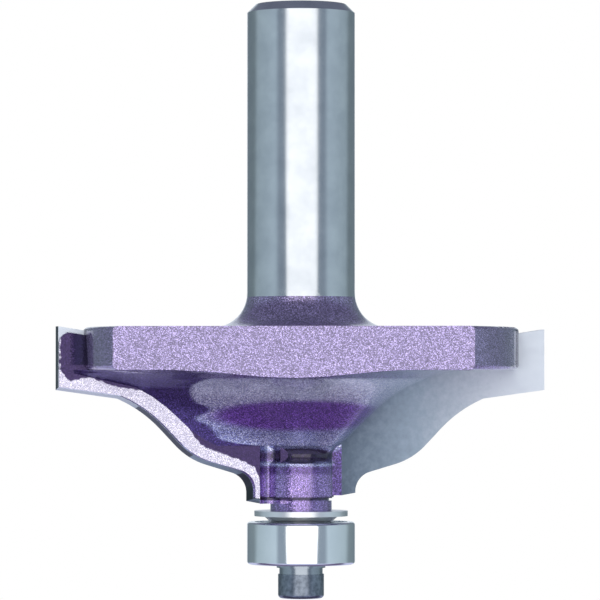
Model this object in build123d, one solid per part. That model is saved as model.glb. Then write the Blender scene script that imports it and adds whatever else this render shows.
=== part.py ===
from build123d import *
import os
from math import acos, atan2, cos, hypot, pi, radians, sin, sqrt, tan

# Two-wing ogee router bit with a guide bearing, in millimetres.
# The origin is the centre of the shank's end face. +Z runs out of the shank, so the
# tool hangs below the origin, and +X runs along the right wing. Seen from the shank
# end the tool turns clockwise, so the right wing cuts towards -Y.

# Shank and neck
shank_diameter = 12.7
shank_length = 34.0
shank_chamfer = 1.0
neck_fillet = 4.1

# Disc that carries the wings, with a flat milled on its front and back
disc_diameter = 51.2
disc_thickness = 5.0
disc_top_edge = 0.5
disc_bottom_edge = 0.6
flat_distance = 15.1
flat_turn = 3.3

# Core below the disc: a flare, a straight cone, a cove and a hub
flare_start_diameter = 41.0
flare_radius = 16.7
cone_slope = 44.0
cove_top_diameter = 9.2
cove_waist_diameter = 7.7
cove_height = 2.1
hub_diameter = 8.8
hub_foot_gap = 0.36

# Groove, bearing seat and spigot below the hub
groove_diameter = 6.6
groove_width = 0.35
seat_diameter = 7.24
seat_length = 1.2
spigot_clearance = 0.015
spigot_setback = 0.15
spigot_chamfer = 0.3

# Cutting edges, as they lie in each wing's rake plane
cutting_diameter = 57.7
rake_offset = 1.9
outer_corner_drop = 7.35
lip_width = 7.2
lip_slope = 8.0
shoulder_width = 2.95
shoulder_slope = 24.0
ramp_width = 5.4
ramp_slope = 47.0
foot_slope = 17.0
pilot_step = 0.35
cove_edge_radius = 15.0
bead_edge_radius = 8.0
foot_edge_radius = 2.4
heel_drop = 0.3

# The two wings were ground by hand and differ a little in height
right_top_gap = 0.2
right_foot_land = 1.95
left_top_gap = -0.12
left_foot_land = 2.8

# Carbide plates and the steel wings behind them
carbide_thickness = 1.3
edge_relief = 12.0
carbide_inner_reach = 4.8
tip_top_slope = 9.0
land_step = 0.02
wing_steel = 0.35
wing_top_gap = 0.55
wing_top_round = 1.2
band_width = 1.5
rim_root_radius = 2.4
hub_scallop_radius = 1.2
wing_inner_reach = 1.0
web_steps = 8
web_spread = 1.5
web_sink = 0.2

# Guide bearing, 3/16 x 1/2 inch
bearing_bore = 4.7625
bearing_diameter = 12.7
bearing_width = 4.98
inner_land_diameter = 7.3
outer_land_diameter = 10.4
ring_edge_round = 0.35
bore_edge_round = 0.2
ball_diameter = 2.381
ball_count = 7
groove_clearance = 0.05
shield_thickness = 0.2
shield_recess = 0.3
shield_seat_depth = 0.25
shield_clearance = 0.15
cage_wall = 0.5
cage_web = 0.35
cage_wrap = 0.6
cage_pocket_clearance = 0.06

# Washers and screw
thrust_flange_diameter = 11.0
thrust_flange_thickness = 0.62
thrust_cone_diameter = 8.8
thrust_washer_height = 1.3
washer_land_margin = 0.05
flat_washer_diameter = 5.75
flat_washer_thickness = 0.4
lock_washer_diameter = 5.1
lock_washer_thickness = 0.75
lock_washer_gap = 0.5
screw_diameter = 3.0
screw_length = 10.0
screw_head_diameter = 5.4
screw_head_height = 2.85
screw_head_round = 0.45
screw_tip_chamfer = 0.3
hex_across_flats = 2.5
hex_depth = 1.4
screw_thread_clearance = 0.03
washer_hole_clearance = 0.1
tap_hole_spare = 1.0
drill_point_angle = 59.0

# Radii and levels that follow from the sizes above
shank_r = shank_diameter / 2
disc_r = disc_diameter / 2
hub_r = hub_diameter / 2
seat_r = seat_diameter / 2
disc_top = -(shank_length + neck_fillet)
disc_bottom = disc_top - disc_thickness
flare_start_r = flare_start_diameter / 2
flare_end_r = flare_start_r - flare_radius * sin(radians(cone_slope))
flare_end = disc_bottom - flare_radius * (1 - cos(radians(cone_slope)))
cove_top_r = cove_top_diameter / 2
cove_top = flare_end - (flare_end_r - cove_top_r) * tan(radians(cone_slope))
hub_top = cove_top - cove_height
cutting_r = cutting_diameter / 2
pilot_r = bearing_diameter / 2 + pilot_step
edge_x = sqrt(cutting_r**2 - rake_offset**2)
foot_x = sqrt(pilot_r**2 - rake_offset**2)
foot_run = edge_x - lip_width - shoulder_width - ramp_width - foot_x
edge_steps = (
    (lip_width, lip_slope),
    (shoulder_width, shoulder_slope),
    (ramp_width, ramp_slope),
    (foot_run, foot_slope),
)
edge_drop = sum(width * tan(radians(slope)) for width, slope in edge_steps)
foot_corner = disc_top - outer_corner_drop - edge_drop
right_foot = foot_corner - right_foot_land
left_foot = foot_corner - left_foot_land
hub_bottom = left_foot + hub_foot_gap
seat_top = hub_bottom - groove_width
stack_top = seat_top - seat_length
bearing_top = stack_top - thrust_washer_height
bearing_bottom = bearing_top - bearing_width
spigot_r = bearing_bore / 2 - spigot_clearance
spigot_end = bearing_bottom + spigot_setback
flat_washer_bottom = bearing_bottom - flat_washer_thickness
head_top = flat_washer_bottom - lock_washer_thickness
screw_r = screw_diameter / 2
tap_r = screw_r + screw_thread_clearance
tap_top = head_top + screw_length + tap_hole_spare
carbide_back = rake_offset + carbide_thickness
wing_back = carbide_back + wing_steel
# The web's faces lie inside the backing steel, a third of it from each side
web_skin = wing_steel / 3


def revolved(profile):
    """A solid of revolution about the tool's axis from an (r, z) profile face."""
    return revolve(Plane.XZ * profile, Axis.Z)


def ring(outer_r, inner_r, bottom, top):
    """A plain turned ring about the tool's axis."""
    tube = Cylinder(outer_r, top - bottom) - Cylinder(inner_r, top - bottom)
    return Pos(0, 0, (bottom + top) / 2) * tube


# Turned blank: shank, disc, core, hub, seat and spigot
def core_profile():
    """Half section of the turned blank, as a face in (r, z)."""
    neck_end = (shank_r + neck_fillet, disc_top)
    flare_mid_turn = radians(cone_slope / 2)
    flare_mid = (
        flare_start_r - flare_radius * sin(flare_mid_turn),
        disc_bottom - flare_radius * (1 - cos(flare_mid_turn)),
    )
    neck_mid = (
        shank_r + neck_fillet * (1 - cos(pi / 4)),
        disc_top + neck_fillet * (1 - sin(pi / 4)),
    )
    upper = Polyline(
        (0, 0),
        (shank_r - shank_chamfer, 0),
        (shank_r, -shank_chamfer),
        (shank_r, -shank_length),
    )
    neck = ThreePointArc((shank_r, -shank_length), neck_mid, neck_end)
    disc = FilletPolyline(
        neck_end,
        (disc_r, disc_top),
        (disc_r, disc_bottom),
        (flare_start_r, disc_bottom),
        radius=[disc_top_edge, disc_bottom_edge],
    )
    flare = ThreePointArc((flare_start_r, disc_bottom), flare_mid, (flare_end_r, flare_end))
    cone = Line((flare_end_r, flare_end), (cove_top_r, cove_top))
    cove = ThreePointArc(
        (cove_top_r, cove_top),
        (cove_waist_diameter / 2, (cove_top + hub_top) / 2),
        (hub_r, hub_top),
    )
    lower = Polyline(
        (hub_r, hub_top),
        (hub_r, hub_bottom),
        (groove_diameter / 2, hub_bottom),
        (groove_diameter / 2, seat_top),
        (seat_r, seat_top),
        (seat_r, stack_top),
        (spigot_r, stack_top),
        (spigot_r, spigot_end + spigot_chamfer),
        (spigot_r - spigot_chamfer, spigot_end),
        (0, spigot_end),
        (0, 0),
    )
    return make_face(upper + neck + disc + flare + cone + cove + lower)


def core_radius(z):
    """Radius of the core below the disc at the level z."""
    if z >= disc_bottom:
        return flare_start_r
    if z > flare_end:
        drop = disc_bottom - z
        return flare_start_r - sqrt(flare_radius**2 - (flare_radius - drop) ** 2)
    return flare_end_r - (flare_end - z) / tan(radians(cone_slope))


# Wings, drawn for the right-hand one, whose body lies behind its rake plane at +Y
def edge_points(wing, y, drop):
    """Corners of the cutting edge where the plane y cuts its relieved surface.

    Each corner keeps to its own cutting circle and falls back from it by drop.
    """
    x = edge_x
    z = disc_top - outer_corner_drop
    corners = [(x, z)]
    for width, slope in edge_steps:
        x = x - width
        z = z - width * tan(radians(slope))
        corners.append((x, z))
    corners.append((foot_x, wing["foot"]))
    moved = []
    for corner_x, corner_z in corners:
        circle_r = hypot(corner_x, rake_offset)
        moved.append((sqrt(circle_r**2 - y**2) - drop, corner_z + drop))
    return moved


def wing_outline(wing, y, drop, inner_x, top_gap, top_round):
    """Wing section in the plane y, as a face in (x, z), from inner_x outwards."""
    corners = edge_points(wing, y, drop)
    top_z = disc_top - wing["top_gap"] - top_gap
    top_rise = (corners[0][0] - inner_x) * tan(radians(tip_top_slope))
    inner_top = (inner_x, top_z - top_rise)
    foot_bottom = (inner_x, wing["foot"] - heel_drop + drop)
    outer_top = (corners[0][0], top_z)
    edge_radii = [0, 0, cove_edge_radius, bead_edge_radius, foot_edge_radius]
    rim = FilletPolyline(
        foot_bottom,
        inner_top,
        outer_top,
        *corners,
        foot_bottom,
        radius=[0, 0, top_round, *edge_radii, 0],
    )
    return make_face(rim)


def at_depth(outline, y):
    """The (x, z) outline placed in the plane y."""
    return (Plane.XZ.offset(-y) * outline).faces()[0]


def relieved_plate(wing, near, far, near_drop, relief, inner_x, top_gap, top_round):
    """A plate between two planes whose edge falls back at the relief angle."""
    far_drop = near_drop + (far - near) * tan(radians(relief))
    near_face = at_depth(wing_outline(wing, near, near_drop, inner_x, top_gap, top_round), near)
    far_face = at_depth(wing_outline(wing, far, far_drop, inner_x, top_gap, top_round), far)
    return loft([near_face, far_face], ruled=True)


def carbide_plate(wing):
    """The brazed carbide plate, ground to the cutting profile and trimmed by the core."""
    plate = relieved_plate(
        wing, rake_offset, carbide_back, 0, edge_relief, carbide_inner_reach, 0, 0
    )
    return plate - blank


def band_region(wing):
    """The wing's back inside the flat band that runs along the cutting edge."""
    drop = carbide_drop + land_step + wing_steel * tan(radians(edge_relief))
    spread = 2 * band_width
    outline = wing_outline(wing, wing_back, drop, -spread, -spread, 0)
    return offset(outline, -band_width, kind=Kind.INTERSECTION)


def band_edge_x(region, z):
    """Where the band's inner edge stands at the level z."""
    crossing = region.faces()[0] & Edge.make_line((0, z), (cutting_r, z))
    return max(vertex.X for vertex in crossing.vertices())


def web_section(region, z):
    """Level section of the web: from the band's inner edge to just inside the core."""
    x = band_edge_x(region, z)
    core_r = core_radius(z) - web_sink
    outer_y = wing_back - web_skin
    inner_y = carbide_back + web_skin
    turn = atan2(outer_y, x) + acos(core_r / hypot(x, outer_y))
    touch = (core_r * cos(turn), core_r * sin(turn))
    outline = Polyline((x, inner_y), (x, outer_y), touch, (0, inner_y), close=True)
    return (Plane.XY.offset(z) * make_face(outline)).faces()[0]


def wing_web(wing):
    """The web that thickens the wing towards the core."""
    region = band_region(wing)
    depth = disc_bottom - cove_top
    levels = [disc_bottom - depth * (i / web_steps) ** web_spread for i in range(web_steps + 1)]
    return loft([web_section(region, z) for z in levels], ruled=True)


def wing_backing(wing):
    """The steel behind the carbide, with the strip inside the plate and a hub scallop."""
    backing = relieved_plate(
        wing,
        carbide_back,
        wing_back,
        carbide_drop + land_step,
        edge_relief,
        wing_inner_reach,
        wing_top_gap,
        wing_top_round,
    )
    strip_bottom = wing["foot"] - heel_drop
    strip = Pos(0, rake_offset, strip_bottom) * Box(
        carbide_inner_reach,
        carbide_thickness,
        cove_top - strip_bottom,
        align=(Align.MIN, Align.MIN, Align.MIN),
    )
    scallop_x = carbide_inner_reach - hub_scallop_radius
    scallop = Pos(scallop_x, wing_back, strip_bottom) * Cylinder(
        hub_scallop_radius,
        cove_top - strip_bottom,
        align=(Align.CENTER, Align.CENTER, Align.MIN),
    )
    return backing + strip - scallop


def rim_root(wing):
    """The concave root where the wing's back runs into the disc's rim."""
    centre_y = wing_back + rim_root_radius
    centre_x = sqrt((disc_r + rim_root_radius) ** 2 - centre_y**2)
    on_rim = disc_r / (disc_r + rim_root_radius)
    under = wing_back - wing_steel / 2
    corner = Polyline(
        (centre_x, wing_back),
        (centre_x * on_rim, centre_y * on_rim),
        (centre_x * on_rim - rim_root_radius, centre_y * on_rim),
        (centre_x * on_rim - rim_root_radius, under),
        (centre_x, under),
        close=True,
    )
    section = make_face(corner) - Pos(centre_x, centre_y) * Circle(rim_root_radius)
    bottom = disc_bottom + disc_bottom_edge
    bar = extrude(Plane.XY.offset(bottom) * section, outer_corner_drop)
    outline = wing_outline(wing, wing_back, carbide_drop + land_step, 0, wing_top_gap, 0)
    trim = extrude(at_depth(outline, wing_back - wing_steel), dir=(0, 1, 0), amount=wing_back)
    return bar & trim


def flat_cutter(turn):
    """A block whose inner face mills one flat across the disc and flare."""
    block = Box(
        disc_diameter,
        disc_diameter,
        2 * disc_diameter,
        align=(Align.CENTER, Align.MAX, Align.CENTER),
    )
    return Rot(0, 0, turn) * Pos(0, -flat_distance, disc_bottom) * block


def tapped_hole():
    """The blind hole for the bearing screw, with its drill point."""
    bore = Pos(0, 0, spigot_end) * Cylinder(
        tap_r, tap_top - spigot_end, align=(Align.CENTER, Align.CENTER, Align.MIN)
    )
    point_height = tap_r / tan(radians(drill_point_angle))
    point = Pos(0, 0, tap_top) * Cone(
        tap_r, 0, point_height, align=(Align.CENTER, Align.CENTER, Align.MIN)
    )
    return bore + point


blank = revolved(core_profile())
carbide_drop = carbide_thickness * tan(radians(edge_relief))
right_wing = {"top_gap": right_top_gap, "foot": right_foot}
left_wing = {"top_gap": left_top_gap, "foot": left_foot}
wings = {"right": (0, right_wing), "left": (180, left_wing)}
parts = {}

body = blank
for side, (turn, wing) in wings.items():
    body += Rot(0, 0, turn) * wing_web(wing)
    body += Rot(0, 0, turn) * wing_backing(wing)
    body += Rot(0, 0, turn) * rim_root(wing)
for side, (turn, wing) in wings.items():
    body -= flat_cutter(turn - flat_turn)
    parts[f"carbide_tip_{side}"] = Rot(0, 0, turn) * carbide_plate(wing)
    body -= parts[f"carbide_tip_{side}"]
parts["cutter_body"] = body - tapped_hole()


# Washer between the hub's seat and the bearing, with a conical nose
bore_r = bearing_bore / 2
inner_land_r = inner_land_diameter / 2
flange_bottom = stack_top - thrust_flange_thickness
thrust_section = Polyline(
    (bore_r, stack_top),
    (thrust_flange_diameter / 2, stack_top),
    (thrust_flange_diameter / 2, flange_bottom),
    (thrust_cone_diameter / 2, flange_bottom),
    (inner_land_r - washer_land_margin, bearing_top),
    (bore_r, bearing_top),
    close=True,
)
parts["thrust_washer"] = revolved(make_face(thrust_section))


# Guide bearing
outer_land_r = outer_land_diameter / 2
ball_r = ball_diameter / 2
pitch_r = (inner_land_r + outer_land_r) / 2
bearing_middle = (bearing_top + bearing_bottom) / 2
race = Pos(pitch_r, bearing_middle) * Circle(ball_r + groove_clearance)
shield_seat_r = outer_land_r + shield_seat_depth
shield_depth = shield_recess + shield_thickness


def rounded_ring(inner_r, outer_r, round_inside):
    """Bearing ring section as a rectangle whose corners on one side are rounded."""
    section = Pos((inner_r + outer_r) / 2, bearing_middle) * Rectangle(
        outer_r - inner_r, bearing_width
    )
    rounded = section.vertices().group_by(Axis.X)[0 if round_inside else -1]
    return fillet(rounded, ring_edge_round if not round_inside else bore_edge_round)


inner_section = rounded_ring(bore_r, inner_land_r, True) - race
parts["bearing_inner_ring"] = revolved(inner_section)

outer_section = rounded_ring(outer_land_r, bearing_diameter / 2, False) - race
for level in (bearing_top - shield_depth / 2, bearing_bottom + shield_depth / 2):
    outer_section -= Pos(shield_seat_r / 2, level) * Rectangle(shield_seat_r, shield_depth)
parts["bearing_outer_ring"] = revolved(outer_section)

shield_inner_r = inner_land_r + shield_clearance
upper_shield_top = bearing_top - shield_recess
parts["bearing_shield_upper"] = ring(
    shield_seat_r, shield_inner_r, upper_shield_top - shield_thickness, upper_shield_top
)
lower_shield_bottom = bearing_bottom + shield_recess
parts["bearing_shield_lower"] = ring(
    shield_seat_r, shield_inner_r, lower_shield_bottom, lower_shield_bottom + shield_thickness
)

pocket_r = ball_r + cage_pocket_clearance
cage = ring(
    pitch_r + cage_wall / 2,
    pitch_r - cage_wall / 2,
    bearing_middle - pocket_r - cage_web,
    bearing_middle + pocket_r * cage_wrap,
)
for number in range(ball_count):
    place = Rot(0, 0, number * 360 / ball_count) * Pos(pitch_r, 0, bearing_middle)
    parts[f"ball_{number + 1}"] = place * Sphere(ball_r)
    cage -= place * Sphere(pocket_r)
parts["ball_cage"] = cage


# Washers and screw that clamp the bearing
washer_hole_r = screw_r + washer_hole_clearance
parts["flat_washer"] = ring(
    flat_washer_diameter / 2, washer_hole_r, flat_washer_bottom, bearing_bottom
)
lock_washer = ring(lock_washer_diameter / 2, washer_hole_r, head_top, flat_washer_bottom)
split = Pos(0, lock_washer_diameter / 2, (head_top + flat_washer_bottom) / 2) * Box(
    lock_washer_gap, lock_washer_diameter / 2, 2 * lock_washer_thickness
)
parts["lock_washer"] = lock_washer - split

head_bottom = head_top - screw_head_height
head = Pos(0, 0, head_bottom) * Cylinder(
    screw_head_diameter / 2, screw_head_height, align=(Align.CENTER, Align.CENTER, Align.MIN)
)
head = fillet(head.edges().group_by(Axis.Z)[0], screw_head_round)
hexagon = RegularPolygon(hex_across_flats / 2, 6, major_radius=False)
socket = extrude(Plane.XY.offset(head_bottom) * hexagon, hex_depth)
shank = Pos(0, 0, head_top) * Cylinder(
    screw_r, screw_length, align=(Align.CENTER, Align.CENTER, Align.MIN)
)
shank = chamfer(shank.edges().group_by(Axis.Z)[-1], screw_tip_chamfer)
parts["bearing_screw"] = head + shank - socket


os.makedirs("parts", exist_ok=True)
for name, solid in parts.items():
    export_step(solid, f"parts/{name}.step")
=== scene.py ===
import logging
from collections.abc import Sequence
from dataclasses import dataclass
from enum import Enum, IntEnum
from math import atan, copysign, cos, hypot, pi, radians, sin, tan

import bmesh
import bpy
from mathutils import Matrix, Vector


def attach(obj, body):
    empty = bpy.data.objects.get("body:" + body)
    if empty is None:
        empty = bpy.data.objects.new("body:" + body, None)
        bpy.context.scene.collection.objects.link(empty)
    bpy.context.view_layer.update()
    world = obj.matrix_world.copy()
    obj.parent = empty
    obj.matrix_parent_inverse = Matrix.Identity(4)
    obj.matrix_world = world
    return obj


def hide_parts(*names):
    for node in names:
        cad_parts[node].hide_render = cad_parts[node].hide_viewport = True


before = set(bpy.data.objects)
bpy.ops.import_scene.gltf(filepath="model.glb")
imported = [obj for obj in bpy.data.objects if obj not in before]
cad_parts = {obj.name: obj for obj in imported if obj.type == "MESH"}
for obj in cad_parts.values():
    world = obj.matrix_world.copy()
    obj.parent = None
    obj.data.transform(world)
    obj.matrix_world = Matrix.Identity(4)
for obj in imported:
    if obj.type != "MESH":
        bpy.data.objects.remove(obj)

log = logging.getLogger("router_bit")
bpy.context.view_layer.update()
MM = 0.001
WHITE = (1, 1, 1, 1)
# Edges of a copied node that turn by more than this stay sharp
SHARP_DEG = 28.0
# Corners of a copied node that lie this close become one
WELD_MM = 0.0005

# Inner edge of the pale band on a wing's back, which is partly thin paint and partly a
# painted reflection, with painted shade inside it: distance from the middle, and height
WING_BAND = (
    (29.0, -43.0),
    (28.15, -43.0),
    (27.4, -44.05),
    (26.95, -44.35),
    (25.9, -44.2),
    (24.8, -43.9),
    (24.0, -44.2),
    (22.2, -44.9),
    (17.65, -45.7),
    (15.05, -47.25),
    (13.5, -49.35),
    (11.8, -51.75),
    (10.35, -52.5),
    (8.25, -53.2),
    (6.4, -53.85),
    (5.35, -54.6),
    (4.85, -55.6),
    (4.75, -57.9),
    (4.5, -60.0),
)

# Where the painted reflections on the core end and the painted shade behind a wing begins:
# height, and distance from the middle
POCKET_EDGE = (
    (-43.3, 8.0),
    (-44.3, 11.2),
    (-45.4, 12.7),
    (-46.8, 12.2),
    (-47.7, 10.6),
    (-48.1, 11.0),
    (-48.7, 12.2),
    (-49.5, 10.9),
    (-50.3, 10.1),
    (-51.0, 9.6),
    (-51.6, 7.8),
    (-52.1, 5.0),
    (-53.2, 4.0),
)

# Painted light on the core's paint: height, and colour. The bands are painted reflections
# of what the gloss mirrors and painted shade, with a painted shadow in the undercut at the
# hub's foot, and they stay on the paint in every view
CORE_PAINTED_LIGHT = (
    (-60.0, "#8672AC"),
    (-58.4, "#8672AC"),
    (-58.3, "#33264A"),
    (-58.0, "#33264A"),
    (-57.9, "#8672AC"),
    (-55.5, "#8672AC"),
    (-55.1, "#624C88"),
    (-54.5, "#5C4780"),
    (-54.2, "#8F90B6"),
    (-53.9, "#8F90B6"),
    (-53.7, "#6E5A94"),
    (-52.9, "#6E5A94"),
    (-52.4, "#A2A6D2"),
    (-51.6, "#B6BAE8"),
    (-50.4, "#9A9CCA"),
    (-47.0, "#C2C2E6"),
    (-45.4, "#E2E6FF"),
    (-44.25, "#E2E6FF"),
    (-44.0, "#867BA2"),
)

# Painted shade on that paint, in ellipses: height, half width, half height, and colour
CORE_PAINTED_SHADE = ((-48.4, 11.2, 1.9, "#7C57A8"), (-53.1, 4.2, 1.0, "#281D3C"))


class Slot(Enum):
    """Material slots of the record."""

    PAINTED_STEEL = "painted_steel"
    CARBIDE = "carbide"
    WASHER = "washer_steel"
    BEARING = "bearing_steel"
    SHIELD = "shield_steel"
    CAGE = "cage_steel"
    SCREW = "black_screw"


class Body(Enum):
    """Rigid bodies of the record."""

    TOOL = "tool"
    OUTER_RACE = "outer_race"
    CAGE = "cage"


class Coat(IntEnum):
    """Finishes of the cutter body, in the order of its material slots."""

    PAINT = 0
    STEEL = 1
    # BACK: a pale band that is partly painted reflection, with painted shade inside it
    BACK = 2
    # POCKET: painted shade behind the wings, over the painted bands
    POCKET = 3


def to_linear(colour: str) -> tuple[float, float, float, float]:
    """Turn an sRGB hex colour into linear RGBA.

    Args:
        colour: Six hex digits with a leading hash sign.

    Returns:
        Linear red, green and blue, with an alpha of one.
    """
    values = [int(colour[i : i + 2], 16) / 255 for i in (1, 3, 5)]
    linear = [v / 12.92 if v <= 0.04045 else ((v + 0.055) / 1.055) ** 2.4 for v in values]
    return (*linear, 1.0)


def add_node(
    tree: bpy.types.NodeTree,
    kind: str,
    links: dict | None = None,
    stops: Sequence[tuple[float, str]] = (),
    line: Sequence[tuple[float, float]] = (),
    handle: str = "VECTOR",
    **settings: object,
) -> bpy.types.Node:
    """Add one node with its settings, values and links.

    Args:
        tree: Node tree that gets the node.
        kind: Blender's name of the node type.
        links: Input name or index to a value or to another node's output socket.
        stops: Place from 0 to 1 and sRGB hex colour of each stop along a ramp.
        line: Points of a curve, both numbers from 0 to 1.
        handle: VECTOR for straight stretches of the curve, AUTO for a smooth one.
        **settings: Attributes of the node, such as its operation.

    Returns:
        The new node.
    """
    node = tree.nodes.new(kind)
    for name, value in settings.items():
        setattr(node, name, value)
    for key, value in (links or {}).items():
        if isinstance(value, bpy.types.NodeSocket):
            tree.links.new(value, node.inputs[key])
        else:
            node.inputs[key].default_value = value
    if stops:
        elements = node.color_ramp.elements
        while len(elements) < len(stops):
            elements.new(0.5)
        for element, (place, colour) in zip(elements, stops):
            element.position = place
            element.color = to_linear(colour)
    if line:
        points = node.mapping.curves[0].points
        ordered = sorted(line)
        points[0].location = (0.0, ordered[0][1])
        points[1].location = (1.0, ordered[-1][1])
        for place, level in ordered:
            if 0 < place < 1:
                points.new(place, level)
        for point in points:
            point.handle_type = handle
        node.mapping.update()
    return node


def new_material(name: str) -> bpy.types.Material:
    """Make an empty node material.

    Args:
        name: Name of the material.

    Returns:
        A material whose node tree is empty.
    """
    material = bpy.data.materials.new(name)
    material.use_nodes = True
    material.node_tree.nodes.clear()
    return material


def object_mm(tree: bpy.types.NodeTree, stretch: tuple = (1, 1, 1)) -> bpy.types.NodeSocket:
    """Object coordinates in millimetres.

    Args:
        tree: Node tree that reads them.
        stretch: Factors along X, Y and Z; a small one draws a pattern out along that axis.

    Returns:
        The vector socket.
    """
    place = add_node(tree, "ShaderNodeTexCoord").outputs["Object"]
    scale = tuple(s / MM for s in stretch)
    return add_node(
        tree, "ShaderNodeVectorMath", {0: place, 1: scale}, operation="MULTIPLY"
    ).outputs[0]


@dataclass(frozen=True)
class GroundSteel:
    """Bare steel ground between centres.

    The eye sees sharp upright bands of light with very fine rings across them.
    """

    name: str = "ground_steel"
    colour: str = "#DCE0E4"
    dull: str = "#B4BAC2"
    roughness: float = 0.16
    ring_spacing_mm: float = 0.09
    ring_depth_mm: float = 0.0016
    ring_strength: float = 0.5
    along_ring: float = 0.06
    cloud_scale: float = 0.35
    smoothest: float = 0.8
    roughest: float = 1.35

    def make(self) -> bpy.types.Material:
        """Build the material.

        Returns:
            The finished material.
        """
        material = new_material(self.name)
        tree = material.node_tree
        turned = object_mm(
            tree, (self.along_ring, self.along_ring, 1 / self.ring_spacing_mm)
        )
        rings = add_node(
            tree, "ShaderNodeTexNoise", {"Vector": turned, "Scale": 1.0, "Detail": 4.0}
        ).outputs["Fac"]
        clouds = add_node(
            tree,
            "ShaderNodeTexNoise",
            {"Vector": object_mm(tree), "Scale": self.cloud_scale, "Detail": 3.0},
        ).outputs["Fac"]
        colour = add_node(
            tree,
            "ShaderNodeMix",
            {0: clouds, 6: to_linear(self.colour), 7: to_linear(self.dull)},
            data_type="RGBA",
        ).outputs[2]
        rough = add_node(
            tree,
            "ShaderNodeMapRange",
            {
                0: rings,
                3: self.roughness * self.smoothest,
                4: self.roughness * self.roughest,
            },
        ).outputs[0]
        bump = add_node(
            tree,
            "ShaderNodeBump",
            {
                "Strength": self.ring_strength,
                "Distance": self.ring_depth_mm * MM,
                "Height": rings,
            },
        ).outputs[0]
        shader = add_node(
            tree,
            "ShaderNodeBsdfPrincipled",
            {"Base Color": colour, "Metallic": 1.0, "Roughness": rough, "Normal": bump},
        )
        add_node(tree, "ShaderNodeOutputMaterial", {"Surface": shader.outputs[0]})
        return material


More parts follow.
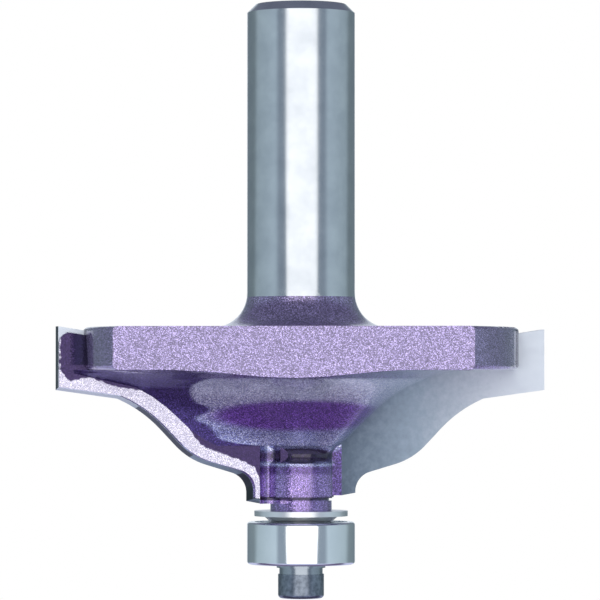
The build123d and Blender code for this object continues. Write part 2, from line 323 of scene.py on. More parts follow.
@dataclass(frozen=True)
class FlakePaint:
    """Violet paint with coarse metal flakes under a glossy clear coat, sprayed on steel.

    Each flake lies at its own tilt, so the eye sees a glitter of light and dark grains
    whose mean follows the lights, and the clear coat's smooth gloss over them.
    """

    name: str = "violet_flake_paint"
    body: str = "#867BA2"
    dull: float = 0.6
    bright: float = 3.2
    flake_mm: float = 0.08
    tilt: float = 0.22
    roughness: float = 0.26
    metallic: float = 0.82
    rarity: float = 3.0
    coat: float = 1.0
    coat_roughness: float = 0.06
    peel_scale: float = 0.8
    peel_mm: float = 0.02
    peel_strength: float = 0.35
    # Heights that the painted bands run between, and where an ellipse of painted shade
    # starts to fade and ends, as parts of its half width
    foot_mm: float = -60.0
    top_mm: float = -43.0
    painted_bands: tuple[tuple[float, str], ...] = ()
    painted_shade_spots: tuple[tuple[float, float, float, str], ...] = ()
    shade_inside: float = 0.75
    shade_outside: float = 1.12
    # Colour of the painted shade behind a wing and inside a wing's band, and the lines that
    # bound it
    pocket_shade: str = "#504176"
    pocket_edge: tuple[tuple[float, float], ...] = ()
    pocket_blend_mm: float = 0.5
    inner_edge: tuple[tuple[float, float], ...] = ()
    ragged_mm: float = 0.7
    ragged_scale: float = 1.7
    ragged_blend: float = 0.004

    def make(self) -> bpy.types.Material:
        """Build the material.

        Returns:
            The finished material.
        """
        material = new_material(self.name)
        tree = material.node_tree
        place = object_mm(tree)
        cells = add_node(
            tree,
            "ShaderNodeTexVoronoi",
            {"Vector": place, "Scale": 1 / self.flake_mm, "Randomness": 1.0},
        )
        parts = add_node(tree, "ShaderNodeSeparateColor", {0: cells.outputs["Color"]})
        rare = add_node(
            tree, "ShaderNodeMath", {0: parts.outputs[0], 1: self.rarity}, operation="POWER"
        ).outputs[0]
        glint = add_node(
            tree, "ShaderNodeMapRange", {0: rare, 3: self.dull, 4: self.bright}
        ).outputs[0]
        colour = add_node(
            tree,
            "ShaderNodeVectorMath",
            {0: self.film(tree, place), "Scale": glint},
            operation="SCALE",
        ).outputs[0]
        centred = add_node(
            tree,
            "ShaderNodeVectorMath",
            {0: cells.outputs["Color"], 1: (0.5, 0.5, 0.5)},
            operation="SUBTRACT",
        ).outputs[0]
        tilted = add_node(
            tree,
            "ShaderNodeVectorMath",
            {0: centred, 1: (self.tilt, self.tilt, self.tilt), 2: self.normal(tree)},
            operation="MULTIPLY_ADD",
        ).outputs[0]
        facing = add_node(
            tree, "ShaderNodeVectorMath", {0: tilted}, operation="NORMALIZE"
        ).outputs[0]
        shader = add_node(
            tree,
            "ShaderNodeBsdfPrincipled",
            {
                "Base Color": colour,
                "Metallic": self.metallic,
                "Roughness": self.roughness,
                "Normal": facing,
                "Coat Weight": self.coat,
                "Coat Roughness": self.coat_roughness,
            },
        )
        add_node(tree, "ShaderNodeOutputMaterial", {"Surface": shader.outputs[0]})
        return material

    def film(
        self, tree: bpy.types.NodeTree, place: bpy.types.NodeSocket
    ) -> bpy.types.NodeSocket:
        """Lay painted reflections and painted shade by height and in ellipses, and paint
        shade into the pockets.

        Args:
            tree: The material's node tree.
            place: Object coordinates in millimetres.

        Returns:
            The colour before the flakes.
        """
        parts = add_node(tree, "ShaderNodeSeparateXYZ", {0: place}).outputs
        height = add_node(
            tree, "ShaderNodeMapRange", {0: parts[2], 1: self.foot_mm, 2: self.top_mm}
        ).outputs[0]
        span = self.top_mm - self.foot_mm
        stops = [((z - self.foot_mm) / span, colour) for z, colour in self.painted_bands]
        colour = add_node(
            tree,
            "ShaderNodeValToRGB",
            {0: height},
            stops=stops or [(0.0, self.body), (1.0, self.body)],
        ).outputs[0]
        colour = self.with_painted_shade(tree, place, colour)
        reach = add_node(
            tree, "ShaderNodeMath", {0: parts[0]}, operation="ABSOLUTE"
        ).outputs[0]
        if self.inner_edge:
            share = self.inside_edge(tree, place, reach, height)
        elif self.pocket_edge:
            share = self.past_edge(tree, reach, height)
        else:
            return colour
        return add_node(
            tree,
            "ShaderNodeMix",
            {0: share, 6: colour, 7: to_linear(self.pocket_shade)},
            data_type="RGBA",
        ).outputs[2]

    def with_painted_shade(
        self,
        tree: bpy.types.NodeTree,
        place: bpy.types.NodeSocket,
        colour: bpy.types.NodeSocket,
    ) -> bpy.types.NodeSocket:
        """Paint shade inside each of its ellipses.

        Args:
            tree: The material's node tree.
            place: Object coordinates in millimetres.
            colour: The paint's colour outside them.

        Returns:
            The colour with the painted shade.
        """
        for middle, half_width, half_height, deep in self.painted_shade_spots:
            centred = add_node(
                tree,
                "ShaderNodeVectorMath",
                {0: place, 1: (0, 0, middle)},
                operation="SUBTRACT",
            ).outputs[0]
            scaled = add_node(
                tree,
                "ShaderNodeVectorMath",
                {0: centred, 1: (1 / half_width, 0, 1 / half_height)},
                operation="MULTIPLY",
            ).outputs[0]
            out = add_node(tree, "ShaderNodeVectorMath", {0: scaled}, operation="LENGTH")
            share = add_node(
                tree,
                "ShaderNodeMapRange",
                {0: out.outputs["Value"], 1: self.shade_inside, 2: self.shade_outside},
                interpolation_type="SMOOTHSTEP",
            ).outputs[0]
            colour = add_node(
                tree,
                "ShaderNodeMix",
                {0: share, 6: to_linear(deep), 7: colour},
                data_type="RGBA",
            ).outputs[2]
        return colour

    def past_edge(
        self,
        tree: bpy.types.NodeTree,
        reach: bpy.types.NodeSocket,
        height: bpy.types.NodeSocket,
    ) -> bpy.types.NodeSocket:
        """Tell the painted shade in the pocket behind a wing from the painted reflections
        on the core before it.

        Args:
            tree: The material's node tree.
            reach: Distance from the middle plane in millimetres.
            height: Height between the foot and the top, from 0 to 1.

        Returns:
            One in the painted shade, and zero on the painted reflections.
        """
        span = self.top_mm - self.foot_mm
        widest = max(x for _, x in self.pocket_edge)
        limit = add_node(
            tree,
            "ShaderNodeFloatCurve",
            {"Value": height},
            line=[((z - self.foot_mm) / span, x / widest) for z, x in self.pocket_edge],
            handle="AUTO",
        ).outputs[0]
        past = add_node(
            tree,
            "ShaderNodeMath",
            {0: limit, 1: -widest, 2: reach},
            operation="MULTIPLY_ADD",
        ).outputs[0]
        return add_node(
            tree,
            "ShaderNodeMapRange",
            {0: past, 1: -self.pocket_blend_mm, 2: self.pocket_blend_mm},
            interpolation_type="SMOOTHSTEP",
        ).outputs[0]

    def inside_edge(
        self,
        tree: bpy.types.NodeTree,
        place: bpy.types.NodeSocket,
        reach: bpy.types.NodeSocket,
        height: bpy.types.NodeSocket,
    ) -> bpy.types.NodeSocket:
        """Tell the pale band along the wing's outline, partly a painted reflection, from
        the painted shade inside it.

        Args:
            tree: The material's node tree.
            place: Object coordinates in millimetres.
            reach: Distance from the middle plane in millimetres.
            height: Height between the foot and the top, from 0 to 1.

        Returns:
            One in the painted shade inside the band's ragged inner edge, and zero on the
            band.
        """
        span = self.top_mm - self.foot_mm
        widest = self.inner_edge[0][0]
        outwards = add_node(
            tree, "ShaderNodeMapRange", {0: reach, 1: 0.0, 2: widest}
        ).outputs[0]
        edge = add_node(
            tree,
            "ShaderNodeFloatCurve",
            {"Value": outwards},
            line=[(x / widest, (z - self.foot_mm) / span) for x, z in self.inner_edge],
        ).outputs[0]
        wander = add_node(
            tree,
            "ShaderNodeTexNoise",
            {"Vector": place, "Scale": self.ragged_scale, "Detail": 4.0},
        ).outputs["Fac"]
        ragged = add_node(
            tree,
            "ShaderNodeMath",
            {0: wander, 1: self.ragged_mm / span, 2: height},
            operation="MULTIPLY_ADD",
        ).outputs[0]
        above = add_node(
            tree, "ShaderNodeMath", {0: ragged, 1: edge}, operation="SUBTRACT"
        ).outputs[0]
        half = self.ragged_mm / span / 2
        return add_node(
            tree,
            "ShaderNodeMapRange",
            {0: above, 1: half - self.ragged_blend, 2: half + self.ragged_blend},
        ).outputs[0]

    def normal(self, tree: bpy.types.NodeTree) -> bpy.types.NodeSocket:
        """Bump the surface slightly with the orange peel of sprayed paint.

        Args:
            tree: The material's node tree.

        Returns:
            The bumped normal.
        """
        peel = add_node(
            tree,
            "ShaderNodeTexNoise",
            {"Vector": object_mm(tree), "Scale": self.peel_scale, "Detail": 2.0},
        ).outputs["Fac"]
        return add_node(
            tree,
            "ShaderNodeBump",
            {"Strength": self.peel_strength, "Distance": self.peel_mm * MM, "Height": peel},
        ).outputs[0]


@dataclass(frozen=True)
class GroundCarbide:
    """Sintered tungsten carbide, ground flat and then brazed.

    The eye sees blue-grey satin with a fine mottle, brighter towards the outer end.
    """

    name: str = "ground_carbide"
    bright: str = "#DAE1EA"
    middle: str = "#9BABBA"
    dark: str = "#637384"
    roughness: float = 0.42
    metallic: float = 0.5
    mottle_mm: float = 0.9
    mottle_contrast: float = 0.65
    mottle_share: float = 0.5
    mottle_mean: float = 0.25
    middle_at: float = 0.35
    bright_at: float = 0.75
    inner_mm: float = 5.0
    outer_mm: float = 28.8
    grit_mm: float = 0.12
    grit_depth_mm: float = 0.004
    grit_strength: float = 0.4
    along_grit: float = 0.25
    smoothest: float = 0.8
    roughest: float = 1.4

    def make(self) -> bpy.types.Material:
        """Build the material.

        Returns:
            The finished material.
        """
        material = new_material(self.name)
        tree = material.node_tree
        place = object_mm(tree)
        across = add_node(tree, "ShaderNodeSeparateXYZ", {0: place}).outputs[0]
        reach = add_node(
            tree, "ShaderNodeMath", {0: across}, operation="ABSOLUTE"
        ).outputs[0]
        mottle = add_node(
            tree,
            "ShaderNodeTexNoise",
            {
                "Vector": place,
                "Scale": 1 / self.mottle_mm,
                "Detail": 5.0,
                "Roughness": self.mottle_contrast,
            },
        ).outputs["Fac"]
        outwards = add_node(
            tree, "ShaderNodeMapRange", {0: reach, 1: self.inner_mm, 2: self.outer_mm}
        ).outputs[0]
        spread = add_node(
            tree,
            "ShaderNodeMath",
            {0: mottle, 1: self.mottle_share, 2: outwards},
            operation="MULTIPLY_ADD",
        ).outputs[0]
        level = add_node(
            tree, "ShaderNodeMath", {0: spread, 1: self.mottle_mean}, operation="SUBTRACT"
        ).outputs[0]
        colour = add_node(
            tree,
            "ShaderNodeValToRGB",
            {0: level},
            stops=(
                (0.0, self.dark),
                (self.middle_at, self.middle),
                (self.bright_at, self.bright),
                (1.0, self.bright),
            ),
        ).outputs[0]
        grit = add_node(
            tree,
            "ShaderNodeTexNoise",
            {
                "Vector": object_mm(tree, (self.along_grit, 1, 1)),
                "Scale": 1 / self.grit_mm,
                "Detail": 2.0,
            },
        ).outputs["Fac"]
        bump = add_node(
            tree,
            "ShaderNodeBump",
            {
                "Strength": self.grit_strength,
                "Distance": self.grit_depth_mm * MM,
                "Height": grit,
            },
        ).outputs[0]
        rough = add_node(
            tree,
            "ShaderNodeMapRange",
            {
                0: mottle,
                3: self.roughness * self.smoothest,
                4: self.roughness * self.roughest,
            },
        ).outputs[0]
        shader = add_node(
            tree,
            "ShaderNodeBsdfPrincipled",
            {
                "Base Color": colour,
                "Metallic": self.metallic,
                "Roughness": rough,
                "Normal": bump,
            },
        )
        add_node(tree, "ShaderNodeOutputMaterial", {"Surface": shader.outputs[0]})
        return material


@dataclass(frozen=True)
class BlackOxide:
    """Hardened steel with a black oxide film and a trace of oil.

    The eye sees near-black with soft grey-blue bands where the lights stand.
    """

    name: str = "black_oxide_steel"
    thick: str = "#6A727D"
    thin: str = "#949DAA"
    thick_at: float = 0.3
    thin_at: float = 0.7
    film_scale: float = 2.2
    roughness: float = 0.3

    def make(self) -> bpy.types.Material:
        """Build the material.

        Returns:
            The finished material.
        """
        material = new_material(self.name)
        tree = material.node_tree
        film = add_node(
            tree,
            "ShaderNodeTexNoise",
            {"Vector": object_mm(tree), "Scale": self.film_scale, "Detail": 4.0},
        ).outputs["Fac"]
        colour = add_node(
            tree,
            "ShaderNodeValToRGB",
            {0: film},
            stops=((self.thick_at, self.thick), (self.thin_at, self.thin)),
        ).outputs[0]
        shader = add_node(
            tree,
            "ShaderNodeBsdfPrincipled",
            {"Base Color": colour, "Metallic": 1.0, "Roughness": self.roughness},
        )
        add_node(tree, "ShaderNodeOutputMaterial", {"Surface": shader.outputs[0]})
        return material


def merged_copy(node: str, sharp_deg: float = SHARP_DEG) -> bpy.types.Object:
    """Copy a CAD node with its triangles joined, for smooth shading.

    Args:
        node: Name of the CAD node.
        sharp_deg: Edges that turn by more than this stay sharp.

    Returns:
        The new piece, at the origin, not yet dressed.
    """
    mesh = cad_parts[node].data.copy()
    mesh.name = node + "_skin"
    mesh.materials.clear()
    shape = bmesh.new()
    shape.from_mesh(mesh)
    bmesh.ops.remove_doubles(shape, verts=shape.verts, dist=WELD_MM * MM)
    shape.to_mesh(mesh)
    shape.free()
    stored = mesh.attributes.get("custom_normal")
    if stored:
        mesh.attributes.remove(stored)
    mesh.polygons.foreach_set("use_smooth", [True] * len(mesh.polygons))
    mesh.set_sharp_from_angle(angle=radians(sharp_deg))
    piece = bpy.data.objects.new(mesh.name, mesh)
    bpy.context.scene.collection.objects.link(piece)
    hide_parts(node)
    return piece


def even_normals(piece: bpy.types.Object) -> None:
    """Let large flat faces keep their own direction where small rounded ones meet them.

    Args:
        piece: Piece with smooth faces and its sharp edges marked.
    """
    modifier = piece.modifiers.new("even_normals", "WEIGHTED_NORMAL")
    modifier.mode = "FACE_AREA"
    modifier.keep_sharp = True
    graph = bpy.context.evaluated_depsgraph_get()
    finished = bpy.data.meshes.new_from_object(piece.evaluated_get(graph))
    piece.modifiers.clear()
    piece.data = finished


def settle(piece: bpy.types.Object, body: Body) -> None:
    """Let a finished piece ride on its body and report it.

    Args:
        piece: The finished piece.
        body: Body that it moves with.
    """
    even_normals(piece)
    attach(piece, body.value)
    log.info("%s: %d faces on %s", piece.name, len(piece.data.polygons), body.value)


@dataclass
class CutterBody:
    """The one-piece steel body: bare shank, painted disc, flared core and wings."""

    paint: bpy.types.Material
    wing_paint: bpy.types.Material
    painted_shade_pocket_paint: bpy.types.Material
    steel: bpy.types.Material
    paint_end_mm: float = -34.5
    disc_bottom_mm: float = -43.1
    rim_end_mm: float = 24.9
    cove_top_mm: float = -51.94
    cove_top_r_mm: float = 4.6
    cone_deg: float = 44.0
    hub_r_mm: float = 4.4
    hub_bottom_mm: float = -58.0
    milled_hub_mm: float = 3.66
    rake_mm: float = 1.9
    wing_back_mm: float = 3.55
    seat_mm: float = -59.7
    flat_mm: float = 15.1
    flat_turn_deg: float = 3.3
    # The burr: a ragged bead along the flats' lower edges, sunk below the flat
    bead_mm: float = 0.045
    ragged_mm: float = 0.05
    bead_step_mm: float = 0.09
    bead_sides: int = 6
    bead_weld_mm: float = 0.001
    ragged_per_mm: float = 1.6
    ragged_mean: float = 0.45
    ragged_seed: float = 7.0
    sunk_mm: float = 0.06
    # Limits that tell the body's faces and edges apart: distances, then parts of a unit
    # normal or of an edge's length
    slack_mm: float = 0.02
    cut_slack_mm: float = 0.0001
    hub_fillet_mm: float = 0.6
    hub_slack_mm: float = 0.25
    flat_edge_rise_mm: float = 0.8
    flat_edge_slope: float = 0.8
    flat_match: float = 0.9995
    plane_match: float = 0.995
    round_match: float = 0.97
    rim_slope: float = 0.5
    side_lean: float = 0.3

    def build(self) -> None:
        """Dress the body and lay the burr along both flats."""
        skin = merged_copy("cutter_body")
        self.mill_hub_sides(skin.data)
        self.cut_paint_edge(skin.data)
        for material in (self.paint, self.steel, self.wing_paint, self.painted_shade_pocket_paint):
            skin.data.materials.append(material)
        for face in skin.data.polygons:
            face.material_index = self.finish_of(face.center / MM, face.normal)
        self.keep_backs_flat(skin.data)
        burr = self.flat_burr(skin.data)
        settle(skin, Body.TOOL)
        settle(burr, Body.TOOL)

    def mill_hub_sides(self, mesh: bpy.types.Mesh) -> None:
        """Narrow the hub's side in front of each rake face, where the gullet is milled.

        Args:
            mesh: Mesh of the body's skin.
        """
        for vertex in mesh.vertices:
            x, y, z = vertex.co / MM
            if not self.hub_bottom_mm - self.hub_fillet_mm < z < self.cove_top_mm:
                continue
            cone = self.cove_top_r_mm - (self.cove_top_mm - z) / tan(radians(self.cone_deg))
            narrow = max(self.milled_hub_mm, cone)
            before_rake = (y if x > 0 else -y) < self.rake_mm + self.slack_mm
            in_hub = hypot(x, y) < self.hub_r_mm + self.hub_slack_mm
            if narrow < abs(x) and in_hub and before_rake:
                vertex.co.x = copysign(narrow, x) * MM
        mesh.set_sharp_from_angle(angle=radians(SHARP_DEG))

    def cut_paint_edge(self, mesh: bpy.types.Mesh) -> None:
        """Split the neck's faces where the paint ends.

        Args:
            mesh: Mesh of the body's skin.
        """
        shape = bmesh.new()
        shape.from_mesh(mesh)
        bmesh.ops.bisect_plane(
            shape,
            geom=shape.verts[:] + shape.edges[:] + shape.faces[:],
            dist=self.cut_slack_mm * MM,
            plane_co=(0, 0, self.paint_end_mm * MM),
            plane_no=(0, 0, 1),
        )
        shape.to_mesh(mesh)
        shape.free()

    def on_back(self, centre: Vector, normal: Vector) -> bool:
        """Tell whether a face, by its centre in mm, lies in the ground back of a wing."""
        return self.in_plane(centre, normal, self.wing_back_mm)

    def in_plane(self, centre: Vector, normal: Vector, distance_mm: float) -> bool:
        """Tell whether a face lies in one of two planes along the wings.

        Args:
            centre: The face's centre in millimetres.
            normal: The face's outward normal.
            distance_mm: Distance of both planes from the tool's axis.

        Returns:
            True for a face in either plane.
        """
        off = abs(abs(centre.y) - distance_mm)
        return abs(normal.y) > self.plane_match and off < self.slack_mm

    def keep_backs_flat(self, mesh: bpy.types.Mesh) -> None:
        """Mark the rims of the ground wing backs sharp, so that they shade as planes.

        Args:
            mesh: Mesh of the body's skin.
        """
        shape = bmesh.new()
        shape.from_mesh(mesh)
        for edge in shape.edges:
            sides = {
                self.on_back(face.calc_center_median() / MM, face.normal)
                for face in edge.link_faces
            }
            edge.smooth = edge.smooth and len(sides) < 2
        shape.to_mesh(mesh)
        shape.free()

    def finish_of(self, centre: Vector, normal: Vector) -> Coat:
        """Choose the finish of one face of the body.

        Args:
            centre: The face's centre in millimetres.
            normal: The face's outward normal.

        Returns:
            The finish of that face.
        """
        if centre.z > self.paint_end_mm or centre.z < self.seat_mm:
            return Coat.STEEL
        if self.on_back(centre, normal):
            return Coat.BACK
        if self.in_plane(centre, normal, self.rake_mm):
            return Coat.POCKET
        if abs(centre.x) > self.rim_end_mm and abs(normal.z) < self.rim_slope:
            return Coat.BACK
        outwards = Vector((centre.x, centre.y, 0)).normalized()
        level = Vector((normal.x, normal.y, 0))
        upright = level.length > self.side_lean
        off_round = upright and level.normalized().dot(outwards) < self.round_match
        if off_round and self.cove_top_mm < centre.z < self.disc_bottom_mm:
            return Coat.POCKET
        return Coat.PAINT

    def flat_facing(self) -> Vector:
        """Direction that the front flat looks in; the other flat looks the opposite way."""
        turn = radians(self.flat_turn_deg)
        return Vector((-sin(turn), -cos(turn), 0))

    def flat_edges(self, mesh: bpy.types.Mesh) -> list[tuple[Vector, Vector]]:
        """Find the lower edges of the two milled flats.

        Args:
            mesh: Mesh of the body's skin.

        Returns:
            Start and end of each edge.
        """
        facing = self.flat_facing()
        shape = bmesh.new()
        shape.from_mesh(mesh)
        found = []
        for edge in shape.edges:
            if len(edge.link_faces) != 2:
                continue
            on_flat = [
                abs(face.normal.dot(facing)) > self.flat_match
                and abs(abs(face.calc_center_median().dot(facing)) - self.flat_mm * MM)
                < self.slack_mm * MM
                for face in edge.link_faces
            ]
            start, end = (vert.co.copy() for vert in edge.verts)
            low = max(start.z, end.z) < (self.disc_bottom_mm + self.flat_edge_rise_mm) * MM
            level = abs(end.z - start.z) < (end - start).length * self.flat_edge_slope
            if on_flat[0] != on_flat[1] and low and level:
                found.append((start, end))
        shape.free()
        return found

    def flat_burr(self, mesh: bpy.types.Mesh) -> bpy.types.Object:
        """Lay a thin ragged burr along the lower edges of both flats.

        Args:
            mesh: Mesh of the body's skin.

        Returns:
            The burr as a plain mesh piece.
        """
        path = bpy.data.meshes.new("burr_path")
        facing = self.flat_facing()
        points = [
            point - facing * copysign(self.sunk_mm * MM, point.dot(facing))
            for pair in self.flat_edges(mesh)
            for point in pair
        ]
        lines = [(i, i + 1) for i in range(0, len(points), 2)]
        path.from_pydata(points, lines, [])
        shape = bmesh.new()
        shape.from_mesh(path)
        bmesh.ops.remove_doubles(shape, verts=shape.verts, dist=self.bead_weld_mm * MM)
        shape.to_mesh(path)
        shape.free()
        carrier = bpy.data.objects.new("flat_edge_burr", path)
        bpy.context.scene.collection.objects.link(carrier)
        tree, sizes = self.burr_tree()
        modifier = carrier.modifiers.new("burr", "NODES")
        modifier.node_group = tree
        for socket, value in sizes.items():
            modifier[socket] = value
        graph = bpy.context.evaluated_depsgraph_get()
        finished = bpy.data.meshes.new_from_object(carrier.evaluated_get(graph))
        carrier.modifiers.clear()
        carrier.data = finished
        return carrier

    def burr_tree(self) -> tuple[bpy.types.NodeTree, dict[str, float]]:
        """Build the Geometry Nodes tree that draws a ragged bead along edges.

        Returns:
            The tree, and the value of each named input by its socket identifier.
        """
        tree = bpy.data.node_groups.new("ragged_bead", "GeometryNodeTree")
        face = tree.interface
        face.new_socket("Geometry", in_out="INPUT", socket_type="NodeSocketGeometry")
        named = {
            "Bead radius": self.bead_mm * MM,
            "Raggedness": self.ragged_mm * MM,
            "Step": self.bead_step_mm * MM,
        }
        sizes = {}
        for name, value in named.items():
            socket = face.new_socket(name, in_out="INPUT", socket_type="NodeSocketFloat")
            sizes[socket.identifier] = value
        face.new_socket("Geometry", in_out="OUTPUT", socket_type="NodeSocketGeometry")
        given = add_node(tree, "NodeGroupInput").outputs
        curve = add_node(tree, "GeometryNodeMeshToCurve", {0: given["Geometry"]}).outputs[0]
        even = add_node(
            tree,
            "GeometryNodeResampleCurve",
            {"Curve": curve, "Length": given["Step"]},
            mode="LENGTH",
        ).outputs[0]
        ring = add_node(
            tree,
            "GeometryNodeCurvePrimitiveCircle",
            {"Resolution": self.bead_sides, "Radius": given["Bead radius"]},
        ).outputs[0]
        bead = add_node(
            tree,
            "GeometryNodeCurveToMesh",
            {"Curve": even, "Profile Curve": ring, "Fill Caps": True},
        ).outputs[0]
        noise = add_node(
            tree,
            "ShaderNodeTexNoise",
            {"Scale": self.ragged_per_mm / MM, "Detail": 3.0, "W": self.ragged_seed},
            noise_dimensions="4D",
        ).outputs["Fac"]
        lift = add_node(
            tree, "ShaderNodeMath", {0: noise, 1: self.ragged_mean}, operation="SUBTRACT"
        ).outputs[0]
        height = add_node(
            tree, "ShaderNodeMath", {0: lift, 1: given["Raggedness"]}, operation="MULTIPLY"
        ).outputs[0]
        facing = add_node(tree, "GeometryNodeInputNormal").outputs[0]
        push = add_node(
            tree, "ShaderNodeVectorMath", {0: facing, "Scale": height}, operation="SCALE"
        ).outputs[0]
        rough = add_node(
            tree, "GeometryNodeSetPosition", {"Geometry": bead, "Offset": push}
        ).outputs[0]
        whole = add_node(tree, "GeometryNodeRealizeInstances", {0: rough}).outputs[0]
        dressed = add_node(
            tree, "GeometryNodeSetMaterial", {"Geometry": whole, "Material": self.paint}
        ).outputs[0]
        add_node(tree, "NodeGroupOutput", {0: dressed})
        return tree, sizes


@dataclass
class CarbideTips:
    """The two brazed carbide plates with their ground cutting edges."""

    carbide: bpy.types.Material
    land: bpy.types.Material
    nodes: tuple[str, ...] = ("carbide_tip_right", "carbide_tip_left")
    sharp_deg: float = 12.0
    rake_like: float = 0.9
    level_like: float = 0.8

    def build(self) -> None:
        """Dress both plates."""
        for node in self.nodes:
            tip = merged_copy(node, self.sharp_deg)
            tip.data.materials.append(self.carbide)
            tip.data.materials.append(self.land)
            for face in tip.data.polygons:
                # Faces off the rake take the land's finish, whose darker colours are
                # painted shade
                off_rake = abs(face.normal.y) < self.rake_like
                face.material_index = int(off_rake and abs(face.normal.z) < self.level_like)
            settle(tip, Body.TOOL)


@dataclass
class GuideBearing:
    """The guide bearing: rings, shields, balls and cage."""

    steel: bpy.types.Material
    shield: bpy.types.Material
    ball_count: int = 7

    def build(self) -> None:
        """Dress every piece of the bearing."""
        self.dress("bearing_inner_ring", Body.TOOL, self.steel)
        self.dress("bearing_outer_ring", Body.OUTER_RACE, self.steel)
        for side in ("upper", "lower"):
            self.dress(f"bearing_shield_{side}", Body.OUTER_RACE, self.shield)
        self.dress("ball_cage", Body.CAGE, self.shield)
        for number in range(1, self.ball_count + 1):
            self.dress(f"ball_{number}", Body.CAGE, self.steel)

    def dress(
        self, node: str, body: Body, material: bpy.types.Material
    ) -> None:
        """Dress one piece.

        Args:
            node: Name of the CAD node.
            body: Body that it moves with.
            material: Its finish.
        """
        piece = merged_copy(node)
        piece.data.materials.append(material)
        settle(piece, body)


@dataclass
class ClampStack:
    """The washers and the screw that hold the bearing on its spigot."""

    flanged: bpy.types.Material
    plain: bpy.types.Material
    screw: bpy.types.Material

    def build(self) -> None:
        """Dress the washers and the screw."""
        for node in ("thrust_washer", "flat_washer", "lock_washer"):
            piece = merged_copy(node)
            finish = self.flanged if node == "thrust_washer" else self.plain
            piece.data.materials.append(finish)
            settle(piece, Body.TOOL)
        screw = merged_copy("bearing_screw")
        screw.data.materials.append(self.screw)
        settle(screw, Body.TOOL)


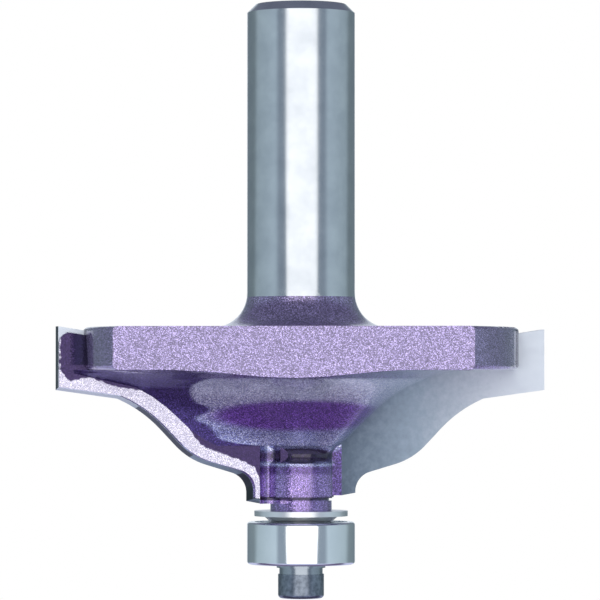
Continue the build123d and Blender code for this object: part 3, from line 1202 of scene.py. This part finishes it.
@dataclass
class Studio:
    """Pale floor, one soft lamp, the walls around and the camera."""

    floor_mm: float = -700.0
    floor_radius_mm: float = 3000.0
    floor_sides: int = 96
    horizon_mm: float = -44.27
    distance_mm: float = 455.0
    axis_px: float = 301.0
    horizon_px: float = 380.0
    focal_px: float = 3862.0
    frame_px: float = 600.0
    sensor_mm: float = 36.0
    # The floor as it is seen: cloth that fades to white between two distances
    cloth: str = "#F2F2F2"
    fade_m: tuple[float, float] = (0.8, 2.4)
    # The floor as metal mirrors it: a painted shadow in a zone under the tool, pale beyond
    # it
    mirrored_painted_shadow: str = "#6C6383"
    mirrored_pale: str = "#CACDEC"
    zone_middle_m: float = 0.12
    zone_m: tuple[float, float] = (0.21, 0.74)
    # The walls as metal mirrors them: part of the turn from front to back, and colour
    wall_strength: float = 1.6
    front_turn: float = 0.035
    ceiling: str = "#5D6170"
    ceiling_from: float = 0.3
    ceiling_full: float = 0.55
    walls: tuple[tuple[float, str], ...] = (
        (0.0, "#FFFFFF"),
        (0.178, "#FFFFFF"),
        (0.192, "#76818C"),
        (0.280, "#76818C"),
        (0.320, "#9CAAB3"),
        (0.600, "#8A989F"),
        (0.680, "#677378"),
        (0.850, "#5F6B72"),
        (0.900, "#5A636B"),
        (0.950, "#B4BCC4"),
    )
    # All other light: even and pale from around, and one soft lamp in front
    even_light: str = "#E4E6EA"
    lamp_mm: tuple[float, float, float] = (-60, -900, 520)
    lamp_side_mm: float = 700
    lamp_watts: float = 3.0
    nearest_mm: float = 10.0
    farthest_m: float = 20.0

    def build(self) -> None:
        """Set up everything around the object."""
        self.camera()
        self.floor()
        self.surroundings()
        self.lamp()
        bpy.context.scene.view_settings.view_transform = "Standard"

    def camera(self) -> None:
        """Place the camera at the photograph's viewing angle."""
        data = bpy.data.cameras.new("camera")
        data.sensor_width = self.sensor_mm
        data.lens = self.focal_px / self.frame_px * self.sensor_mm
        data.clip_start = self.nearest_mm * MM
        data.clip_end = self.farthest_m
        camera = bpy.data.objects.new("camera", data)
        aside = (self.frame_px / 2 - self.axis_px) * self.distance_mm / self.focal_px
        camera.location = (aside * MM, -self.distance_mm * MM, self.horizon_mm * MM)
        tilt = atan((self.horizon_px - self.frame_px / 2) / self.focal_px)
        camera.rotation_euler = (pi / 2 + tilt, 0, 0)
        bpy.context.scene.collection.objects.link(camera)
        bpy.context.scene.camera = camera

    def floor(self) -> None:
        """Lay the plain pale floor, which fades to white far from the object."""
        shape = bmesh.new()
        bmesh.ops.create_circle(
            shape,
            cap_ends=True,
            segments=self.floor_sides,
            radius=self.floor_radius_mm * MM,
        )
        bmesh.ops.translate(shape, verts=shape.verts, vec=(0, 0, self.floor_mm * MM))
        mesh = bpy.data.meshes.new("floor")
        shape.to_mesh(mesh)
        shape.free()
        mesh.materials.append(self.floor_finish())
        floor = bpy.data.objects.new("floor", mesh)
        bpy.context.scene.collection.objects.link(floor)

    def floor_finish(self) -> bpy.types.Material:
        """Build the floor's material: matt, white far off, with a painted shadow under the
        tool where metal mirrors it.

        Returns:
            The finished material.
        """
        material = new_material("pale_floor")
        tree = material.node_tree
        place = add_node(tree, "ShaderNodeTexCoord").outputs["Object"]
        flat = add_node(
            tree, "ShaderNodeVectorMath", {0: place, 1: (1, 1, 0)}, operation="MULTIPLY"
        ).outputs[0]
        reach = add_node(tree, "ShaderNodeVectorMath", {0: flat}, operation="LENGTH")
        far = add_node(
            tree,
            "ShaderNodeMapRange",
            {0: reach.outputs["Value"], 1: self.fade_m[0], 2: self.fade_m[1]},
            interpolation_type="SMOOTHSTEP",
        ).outputs[0]
        ray = add_node(tree, "ShaderNodeLightPath").outputs["Is Camera Ray"]
        seen = add_node(tree, "ShaderNodeMath", {0: far, 1: ray}, operation="MULTIPLY")
        cloth = add_node(tree, "ShaderNodeBsdfDiffuse", {"Color": to_linear(self.cloth)})
        glow = add_node(tree, "ShaderNodeEmission", {"Color": WHITE, "Strength": 1.0})
        both = add_node(
            tree,
            "ShaderNodeMixShader",
            {0: seen.outputs[0], 1: cloth.outputs[0], 2: glow.outputs[0]},
        )
        # Painted shadow that only glossy rays see: dark under the tool, pale beyond it
        depth = add_node(tree, "ShaderNodeSeparateXYZ", {0: place}).outputs[1]
        middle = add_node(
            tree, "ShaderNodeMath", {0: depth, 1: self.zone_middle_m}, operation="SUBTRACT"
        )
        beside = add_node(
            tree, "ShaderNodeMath", {0: middle.outputs[0]}, operation="ABSOLUTE"
        ).outputs[0]
        lit = add_node(
            tree,
            "ShaderNodeMapRange",
            {0: beside, 1: self.zone_m[0], 2: self.zone_m[1]},
            interpolation_type="SMOOTHSTEP",
        ).outputs[0]
        tone = add_node(
            tree,
            "ShaderNodeMix",
            {0: lit, 6: to_linear(self.mirrored_painted_shadow), 7: to_linear(self.mirrored_pale)},
            data_type="RGBA",
        ).outputs[2]
        mirrored = add_node(tree, "ShaderNodeEmission", {"Color": tone, "Strength": 1.0})
        gloss = add_node(tree, "ShaderNodeLightPath").outputs["Is Glossy Ray"]
        whole = add_node(
            tree,
            "ShaderNodeMixShader",
            {0: gloss, 1: both.outputs[0], 2: mirrored.outputs[0]},
        )
        add_node(tree, "ShaderNodeOutputMaterial", {"Surface": whole.outputs[0]})
        return material

    def surroundings(self) -> None:
        """Light the object from the studio's walls, and show them white to the camera."""
        world = bpy.data.worlds.new("studio_walls")
        world.use_nodes = True
        bpy.context.scene.world = world
        tree = world.node_tree
        tree.nodes.clear()
        way = add_node(tree, "ShaderNodeTexCoord").outputs["Generated"]
        parts = add_node(tree, "ShaderNodeSeparateXYZ", {0: way}).outputs
        front = add_node(
            tree, "ShaderNodeMath", {0: parts[1], 1: -1.0}, operation="MULTIPLY"
        )
        turn = add_node(
            tree, "ShaderNodeMath", {0: parts[0], 1: front.outputs[0]}, operation="ARCTAN2"
        ).outputs[0]
        offset = add_node(
            tree, "ShaderNodeMath", {0: turn, 1: self.front_turn}, operation="SUBTRACT"
        ).outputs[0]
        away = add_node(
            tree, "ShaderNodeMath", {0: offset}, operation="ABSOLUTE"
        ).outputs[0]
        share = add_node(
            tree, "ShaderNodeMath", {0: away, 1: pi}, operation="DIVIDE"
        ).outputs[0]
        height = add_node(
            tree,
            "ShaderNodeMapRange",
            {0: parts[2], 1: self.ceiling_from, 2: self.ceiling_full},
            interpolation_type="SMOOTHSTEP",
        ).outputs[0]
        panels = add_node(
            tree, "ShaderNodeValToRGB", {0: share}, stops=self.walls
        ).outputs[0]
        walls = add_node(
            tree,
            "ShaderNodeMix",
            {0: height, 6: panels, 7: to_linear(self.ceiling)},
            data_type="RGBA",
        ).outputs[2]
        lit = add_node(
            tree, "ShaderNodeBackground", {"Color": walls, "Strength": self.wall_strength}
        )
        even = add_node(
            tree,
            "ShaderNodeBackground",
            {"Color": to_linear(self.even_light), "Strength": 1.0},
        )
        white = add_node(tree, "ShaderNodeBackground", {"Color": WHITE, "Strength": 1.0})
        ray = add_node(tree, "ShaderNodeLightPath").outputs
        room = add_node(
            tree,
            "ShaderNodeMixShader",
            {0: ray["Is Glossy Ray"], 1: even.outputs[0], 2: lit.outputs[0]},
        )
        both = add_node(
            tree,
            "ShaderNodeMixShader",
            {0: ray["Is Camera Ray"], 1: room.outputs[0], 2: white.outputs[0]},
        )
        add_node(tree, "ShaderNodeOutputWorld", {"Surface": both.outputs[0]})

    def lamp(self) -> None:
        """Hang the one square lamp that looks at the object."""
        data = bpy.data.lights.new("key_panel", "AREA")
        data.shape = "SQUARE"
        data.size = self.lamp_side_mm * MM
        data.energy = self.lamp_watts
        lamp = bpy.data.objects.new("key_panel", data)
        lamp.location = Vector(self.lamp_mm) * MM
        lamp.visible_glossy = False
        towards = Vector((0, 0, self.horizon_mm * MM)) - lamp.location
        lamp.rotation_euler = towards.to_track_quat("-Z", "Y").to_euler()
        bpy.context.scene.collection.objects.link(lamp)


def main() -> None:
    """Build the router bit's looks and the studio, and report each piece."""
    logging.basicConfig(level=logging.INFO, format="%(name)s: %(message)s")
    steel = GroundSteel().make()
    bearing_steel = GroundSteel(
        name="polished_ring_steel", colour="#F4F7FA", dull="#E2E7EC", roughness=0.1
    ).make()
    washer_steel = GroundSteel(
        name="turned_washer_steel", colour="#F6F7F8", dull="#E4E7EA", roughness=0.3
    ).make()
    plain_steel = GroundSteel(
        name="plain_washer_steel", colour="#B4BBC3", dull="#8D96A0", roughness=0.2
    ).make()
    # The core's paint carries painted reflections and painted shade by height, and painted
    # shade in two ellipses
    paint = FlakePaint(painted_bands=CORE_PAINTED_LIGHT, painted_shade_spots=CORE_PAINTED_SHADE).make()
    # Pale band on the wing backs, partly painted reflection, with painted shade inside it
    wing_paint = FlakePaint(
        name="thin_flake_paint_painted_sheen",
        body="#DBD6EA",
        dull=0.7,
        bright=1.5,
        tilt=0.3,
        coat=0.15,
        pocket_shade="#43355F",
        inner_edge=WING_BAND,
    ).make()
    # Paint of the pockets behind the wings: the same painted bands, with painted shade
    # behind the wings
    painted_shade_pocket_paint = FlakePaint(
        name="pocket_flake_paint_painted_shade",
        coat=0.3,
        painted_bands=CORE_PAINTED_LIGHT,
        painted_shade_spots=CORE_PAINTED_SHADE,
        pocket_edge=POCKET_EDGE,
    ).make()
    carbide = GroundCarbide().make()
    # The relief land is its own ground finish, and its darker colours are painted shade
    land = GroundCarbide(
        name="relief_ground_carbide_painted_shade",
        bright="#5C6468",
        middle="#4A5154",
        dark="#3C4245",
        roughness=0.3,
        metallic=1.0,
    ).make()
    oxide = BlackOxide().make()
    Studio().build()
    CutterBody(paint, wing_paint, painted_shade_pocket_paint, steel).build()
    CarbideTips(carbide, land).build()
    GuideBearing(bearing_steel, washer_steel).build()
    ClampStack(washer_steel, plain_steel, oxide).build()


if __name__ == "__main__":
    main()
